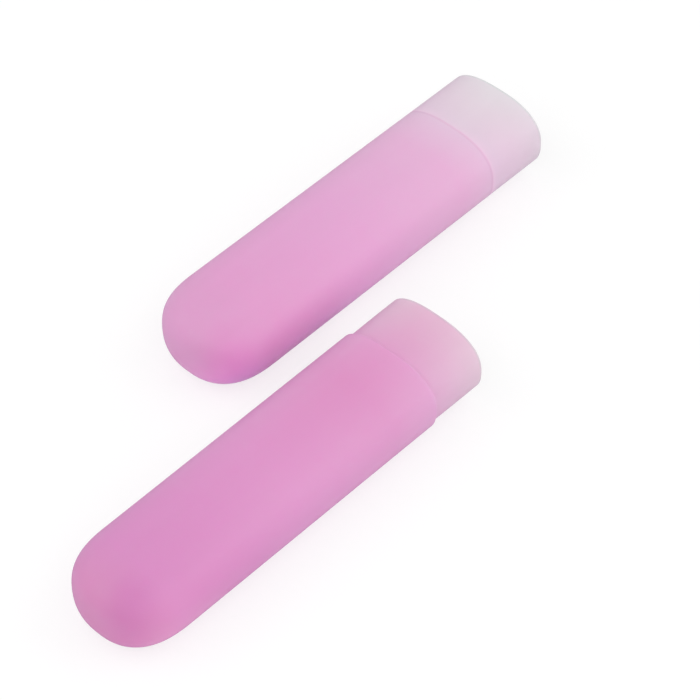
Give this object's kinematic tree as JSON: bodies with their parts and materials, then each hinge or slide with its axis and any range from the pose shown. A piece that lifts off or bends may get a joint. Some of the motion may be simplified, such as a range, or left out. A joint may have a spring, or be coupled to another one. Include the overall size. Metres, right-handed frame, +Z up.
{
  "type": "travel toothbrush holder",
  "caption": "Oval travel toothbrush holder in frosted plastic: a long body with a stepped-in neck and a push-on cap that fits flush over it, shown open with the cap beside it.",
  "frame": {"origin": "on the surface that both halves lie on, under the body's axis, midway between the body's closed end and its shoulder", "axes": "+X along the body, from its closed end towards its mouth; +Y towards the cap that lies beside it; +Z up"},
  "size_m": [0.1814, 0.0708, 0.0208],
  "materials": {
    "frosted_plastic": "translucent pink, frosted all over, paler where the wall is thin"
  },
  "bodies": {
    "body": {"case_body": "frosted_plastic"},
    "cap": {"case_cap": "frosted_plastic"}
  },
  "joints": [
    {"name": "cap_turn", "type": "hinge", "parent": "body", "child": "cap", "pos_m": [0.1004, 0.0204, 0], "axis": [0, 0, -1], "range_deg": [0, 180]}
  ]
}
